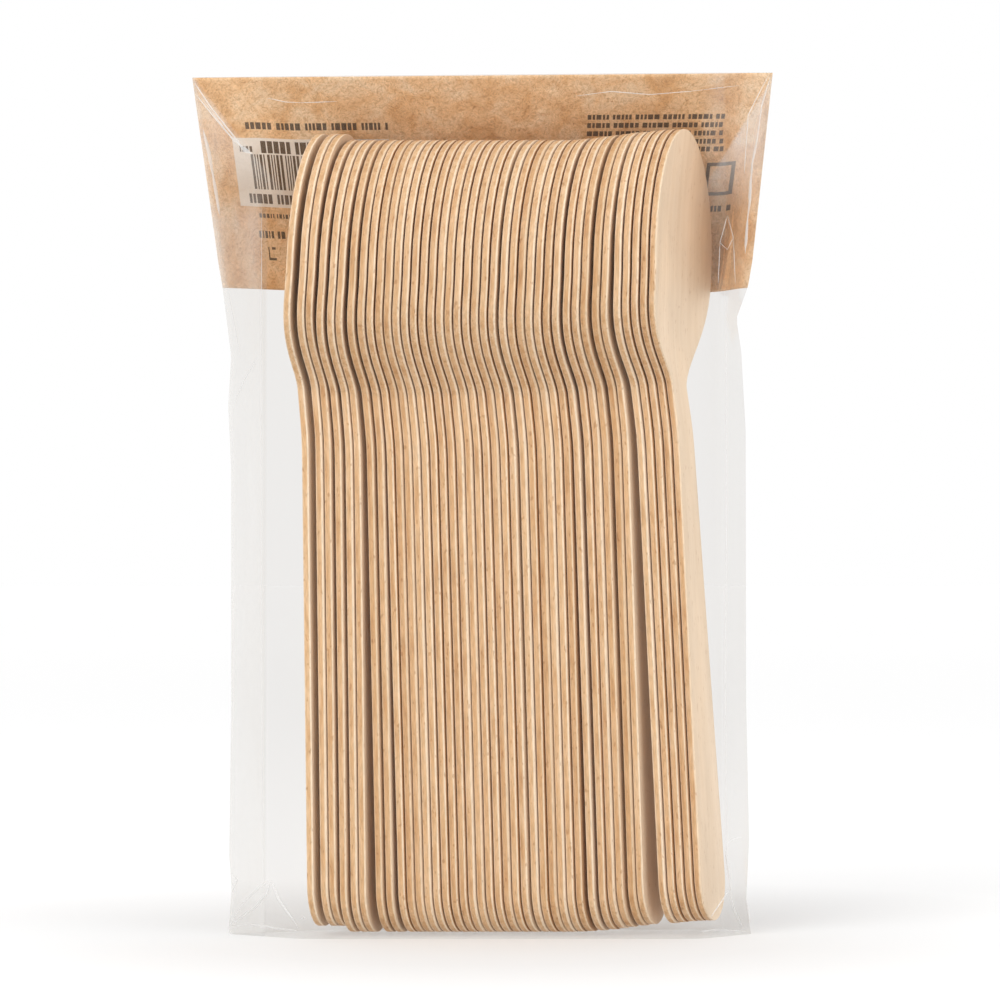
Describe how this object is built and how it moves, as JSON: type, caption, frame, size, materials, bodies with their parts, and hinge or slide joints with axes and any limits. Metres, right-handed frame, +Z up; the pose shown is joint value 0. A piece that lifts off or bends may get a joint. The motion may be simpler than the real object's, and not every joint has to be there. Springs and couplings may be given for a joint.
{
  "type": "wooden spoon pack",
  "caption": "Pack of flat-pressed wooden spoons on end in one row, in a clear film bag with a kraft-coloured band across its top.",
  "frame": {"origin": "middle of the bounding box at the bag's flat bottom, which is the plane that the pack stands on", "axes": "+Z up along the spoons, from their handle ends to their bowls; +X along the row; -Y is the front, where the spoons' edges show; +Y is the back with the kraft band"},
  "size_m": [0.1176, 0.036, 0.1744],
  "materials": {
    "birch": "matt, cut edges a little darker than the pressed faces",
    "clear_film": "thin clear film with fine creases",
    "kraft_paper": "mottled brown kraft paper, matt, behind the film"
  },
  "bodies": {
    "root": {"spoon_01": "birch", "spoon_02": "birch", "spoon_03": "birch", "spoon_04": "birch", "spoon_05": "birch", "spoon_06": "birch", "spoon_07": "birch", "spoon_08": "birch", "spoon_09": "birch", "spoon_10": "birch", "spoon_11": "birch", "spoon_12": "birch", "spoon_13": "birch", "spoon_14": "birch", "spoon_15": "birch", "spoon_16": "birch", "spoon_17": "birch", "spoon_18": "birch", "spoon_19": "birch", "spoon_20": "birch", "spoon_21": "birch", "spoon_22": "birch", "spoon_23": "birch", "spoon_24": "birch", "spoon_25": "birch", "spoon_26": "birch", "spoon_27": "birch", "spoon_28": "birch", "spoon_29": "birch", "spoon_30": "birch", "spoon_31": "birch", "spoon_32": "birch", "spoon_33": "birch", "spoon_34": "birch", "spoon_35": "birch", "spoon_36": "birch", "spoon_37": "birch", "spoon_38": "birch", "spoon_39": "birch", "spoon_40": "birch", "film_bag": "clear_film", "kraft_band": "kraft_paper"}
  },
  "joints": []
}
